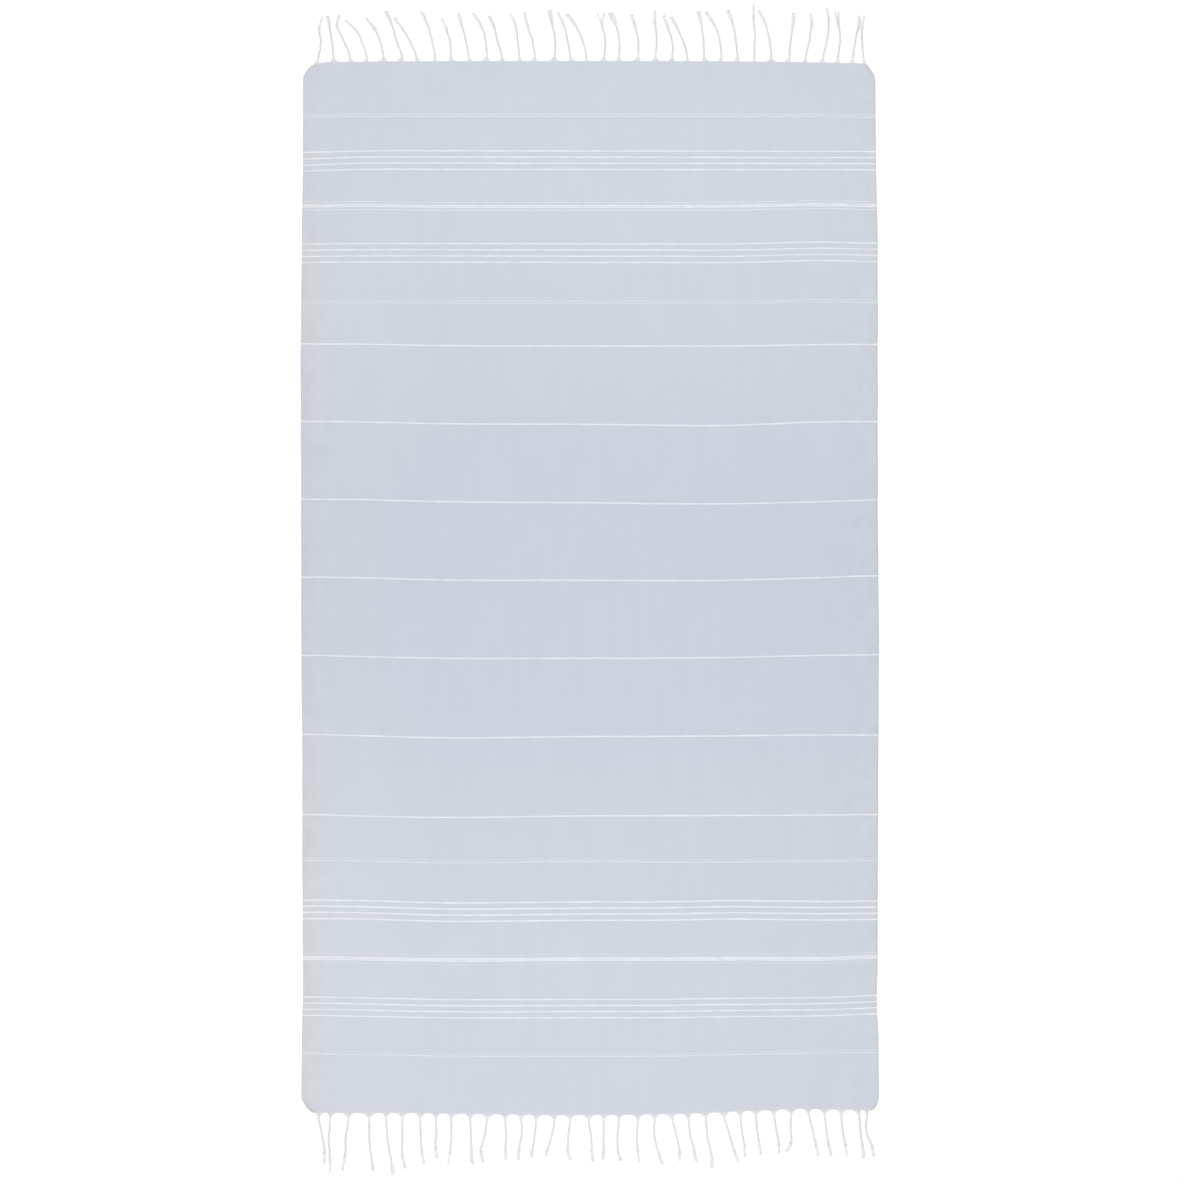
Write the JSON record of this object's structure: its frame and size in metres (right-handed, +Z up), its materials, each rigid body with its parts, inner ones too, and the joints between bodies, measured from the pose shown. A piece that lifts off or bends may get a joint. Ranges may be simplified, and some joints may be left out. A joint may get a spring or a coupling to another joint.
{
  "type": "hammam towel",
  "caption": "Flat-woven cotton towel laid out flat, with fine white cross stripes and a knotted fringe along both ends.",
  "frame": {"origin": "middle of the whole towel, fringes included, on the surface it lies on", "axes": "+X across the cloth, +Y along it towards the end with the narrower strand roots, +Z up out of the surface it lies on"},
  "size_m": [1.0019, 2.0329, 0.0048],
  "materials": {
    "cloth": "flat-woven cotton, pale blue-grey with fine white cross stripes",
    "yarn": "twisted cotton yarn, off-white"
  },
  "bodies": {
    "root": {"towel": "cloth", "fringe_top": "yarn", "fringe_bottom": "yarn"}
  },
  "joints": []
}
